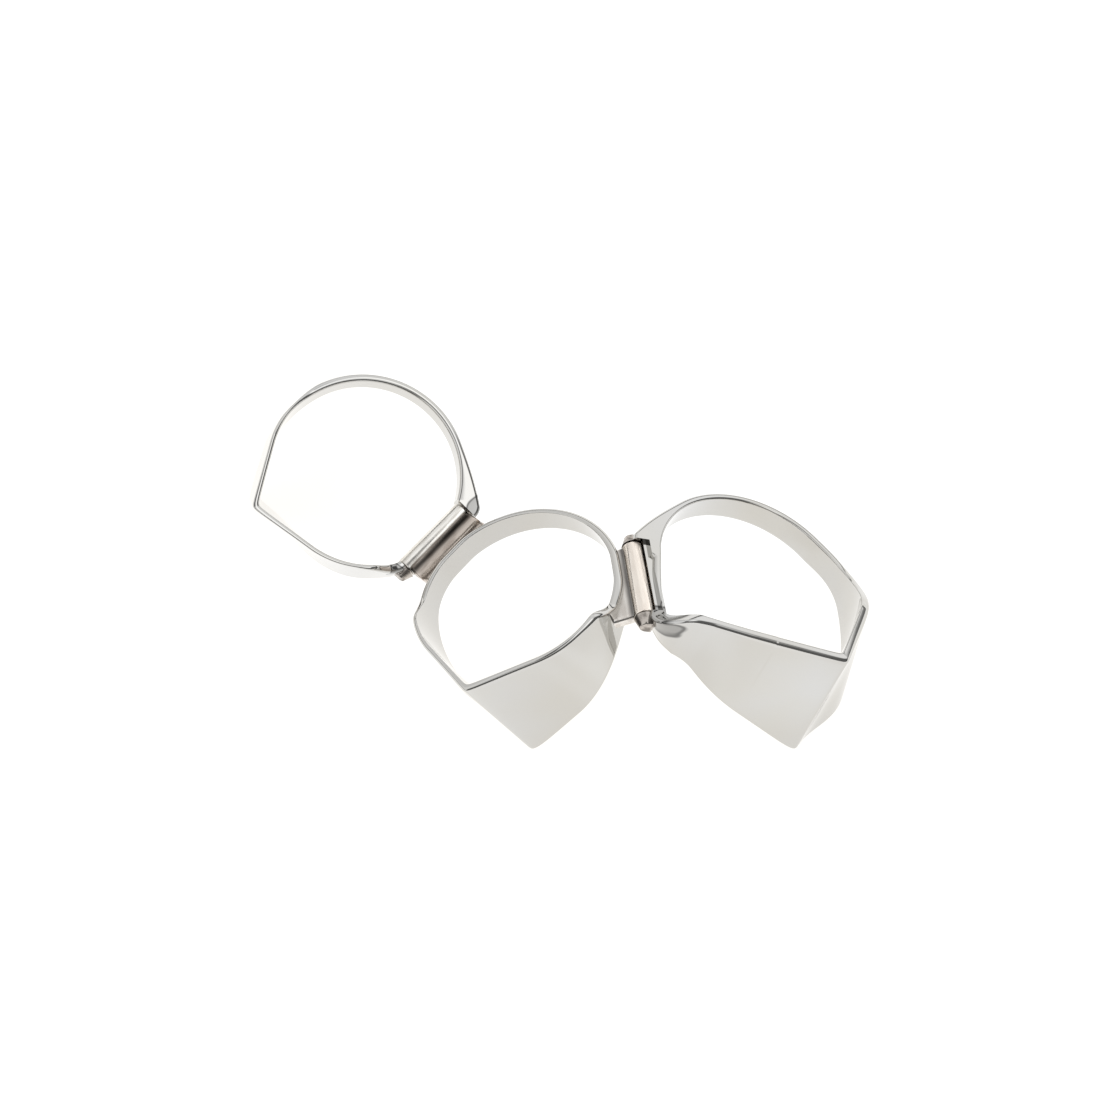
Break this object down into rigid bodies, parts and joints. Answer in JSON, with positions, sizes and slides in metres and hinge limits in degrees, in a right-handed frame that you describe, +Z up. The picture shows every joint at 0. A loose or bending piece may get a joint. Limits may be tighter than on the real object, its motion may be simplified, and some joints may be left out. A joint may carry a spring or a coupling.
{
  "type": "articulated knuckle ring",
  "caption": "Knuckle ring of silver bands, each pinched into a pointed beak plate, hinged side by side so that they fold with the fingers.",
  "frame": {"origin": "middle of the part's bounding box, on the surface that the chain rests on", "axes": "+X along the chain from the left band to the right band, +Z up, the beaks towards -Y"},
  "size_m": [0.0568, 0.034, 0.0172],
  "materials": {
    "silver": "mirror-polished silver"
  },
  "bodies": {
    "left": {"left_ring": "silver", "left_pin": "silver"},
    "middle": {"middle_ring": "silver"},
    "right": {"right_ring": "silver", "right_pin": "silver"}
  },
  "joints": [
    {"name": "left_hinge", "type": "hinge", "parent": "middle", "child": "left", "pos_m": [-0.01033, 0.00248, 0.00395], "axis": [-0.6678, -0.7438, -0.0286], "range_deg": [-28, 112]},
    {"name": "right_hinge", "type": "hinge", "parent": "middle", "child": "right", "pos_m": [0.008, -0.00488, 0.01235], "axis": [-0.119, 0.9461, -0.3011], "range_deg": [-110, 30]}
  ]
}
